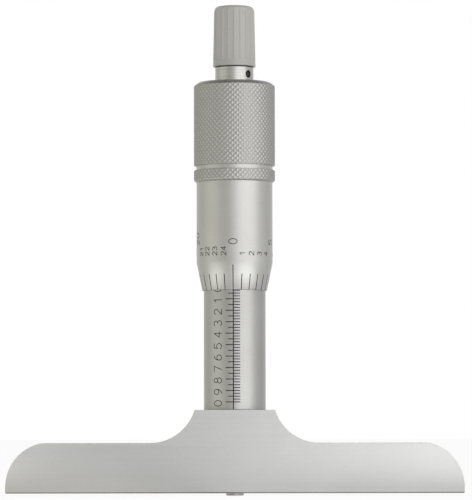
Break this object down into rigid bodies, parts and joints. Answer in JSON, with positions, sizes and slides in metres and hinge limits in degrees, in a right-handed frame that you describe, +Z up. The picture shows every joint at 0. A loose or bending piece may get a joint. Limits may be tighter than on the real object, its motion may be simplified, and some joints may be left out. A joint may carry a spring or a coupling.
{
  "type": "depth micrometer",
  "caption": "Depth micrometer with a wide flat base, graduated sleeve and thimble, knurled grip, ratchet stop and a slim round measuring rod.",
  "frame": {"origin": "centre of the base's measuring face, on the rod's axis", "axes": "+X along the base, -Y the front with the scales, +Z up the rod axis towards the ratchet stop"},
  "size_m": [0.1016, 0.0182, 0.1097],
  "materials": {
    "base_steel": "fine ground, satin plated, with sharp small edge breaks",
    "satin_chrome": "satin chrome plate over fine turning",
    "turned_steel": "turned, uncoated",
    "ground_steel": "hardened and ground, lapped tip",
    "bronze": "turned",
    "spring_wire": "drawn music wire",
    "grip_plastic": "moulded, light warm grey, satin"
  },
  "bodies": {
    "base": {"base_beam": "base_steel", "inner_barrel": "turned_steel", "adjusting_nut": "turned_steel"},
    "sleeve": {"graduated_sleeve": "satin_chrome"},
    "rod": {"measuring_rod": "ground_steel", "rod_setting_nut": "turned_steel", "rod_lock_nut": "turned_steel"},
    "thimble_body": {"spindle_screw": "ground_steel", "thimble": "satin_chrome", "ratchet_shank": "turned_steel", "lower_ratchet_ring": "turned_steel", "stem_screw": "turned_steel"},
    "grip": {"ratchet_grip": "grip_plastic", "grip_core": "bronze", "ratchet_spring": "spring_wire"},
    "ring": {"upper_ratchet_ring": "turned_steel"}
  },
  "joints": [
    {"name": "sleeve_zero_set", "type": "hinge", "parent": "base", "child": "sleeve", "pos_m": [0, 0, 0.01843], "axis": [0, 0, 1], "range_deg": [-14.4, 14.4]},
    {"name": "spindle_travel", "type": "slide", "parent": "base", "child": "rod", "axis": [0, 0, -1], "range_m": [-0.00064, 0.02476]},
    {"name": "thimble_turn", "type": "hinge", "parent": "rod", "child": "thimble_body", "pos_m": [0, 0, 0.0451], "axis": [0, 0, -1], "range_deg": [-360, 14040]},
    {"name": "ratchet_turn", "type": "hinge", "parent": "thimble_body", "child": "grip", "pos_m": [0, 0, 0.09534], "axis": [0, 0, -1], "continuous": true},
    {"name": "ratchet_ring_lift", "type": "slide", "parent": "grip", "child": "ring", "axis": [0, 0, 1], "range_m": [0, 0.0003], "stiffness_N_per_m": 900, "springref_m": -0.002, "deforming": ["ratchet_spring"]}
  ],
  "couplings": [
    {"joint": "thimble_turn", "follows": "spindle_travel", "rad_per_m": 9894.8}
  ]
}
